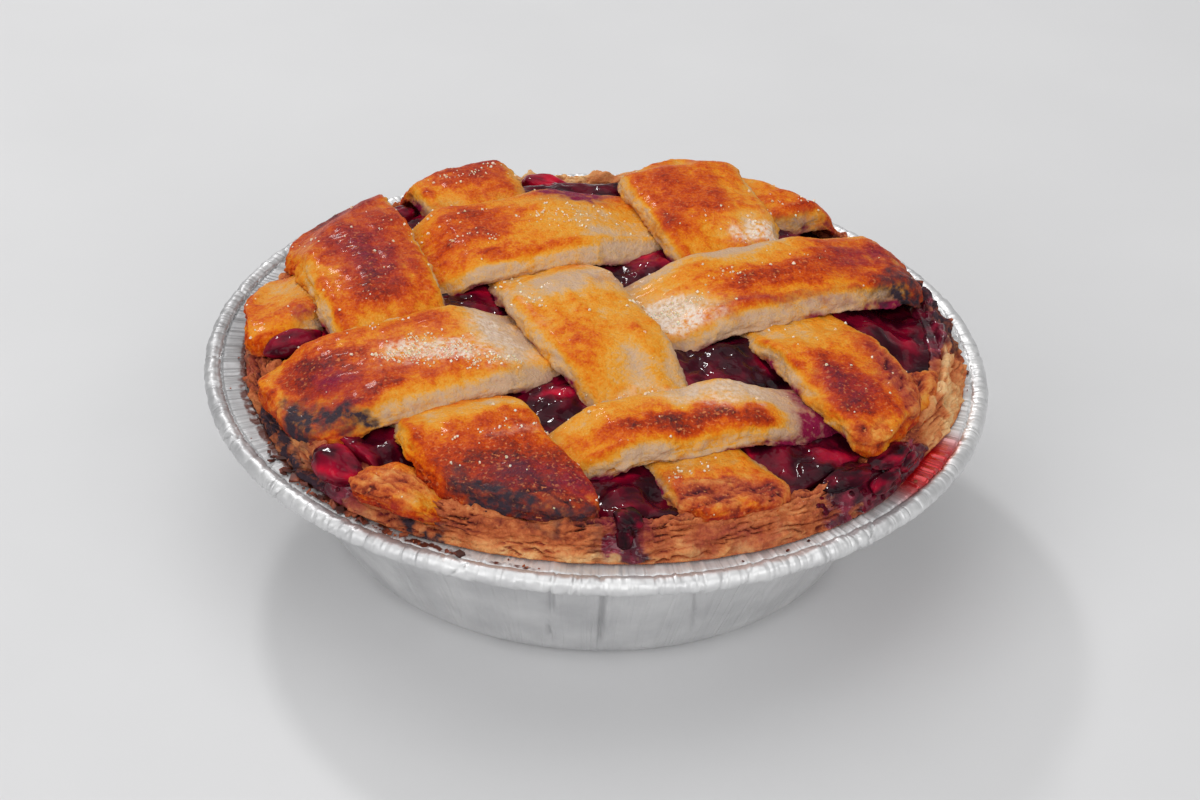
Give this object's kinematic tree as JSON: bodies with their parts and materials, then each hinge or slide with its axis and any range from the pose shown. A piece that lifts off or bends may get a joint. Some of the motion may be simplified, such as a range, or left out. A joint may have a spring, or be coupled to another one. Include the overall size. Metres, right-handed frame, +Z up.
{
  "type": "cherry pie in a foil pan",
  "caption": "Small round cherry pie with a woven pastry lattice over a dark glossy cherry filling, baked and served in its own foil pan.",
  "frame": {"origin": "centre of the pan's underside, on the surface that it rests on", "axes": "+Z up through the pie, +X to the right and -Y towards the front of the lattice"},
  "size_m": [0.1269, 0.1267, 0.043],
  "materials": {
    "foil": "thin pressed foil, satin, with fine pleats",
    "crust": "baked flaky pastry, matt, browned and burnt in places",
    "lattice": "baked flaky pastry with a glossy egg wash and sugar",
    "filling": "dark red cherry jelly, glossy"
  },
  "bodies": {
    "root": {"foil_pan": "foil", "pastry_case": "crust", "cherry_filling": "filling", "lattice_a1": "lattice", "lattice_a2": "lattice", "lattice_a3": "lattice", "lattice_b1": "lattice", "lattice_b2": "lattice", "lattice_b3": "lattice"}
  },
  "joints": []
}
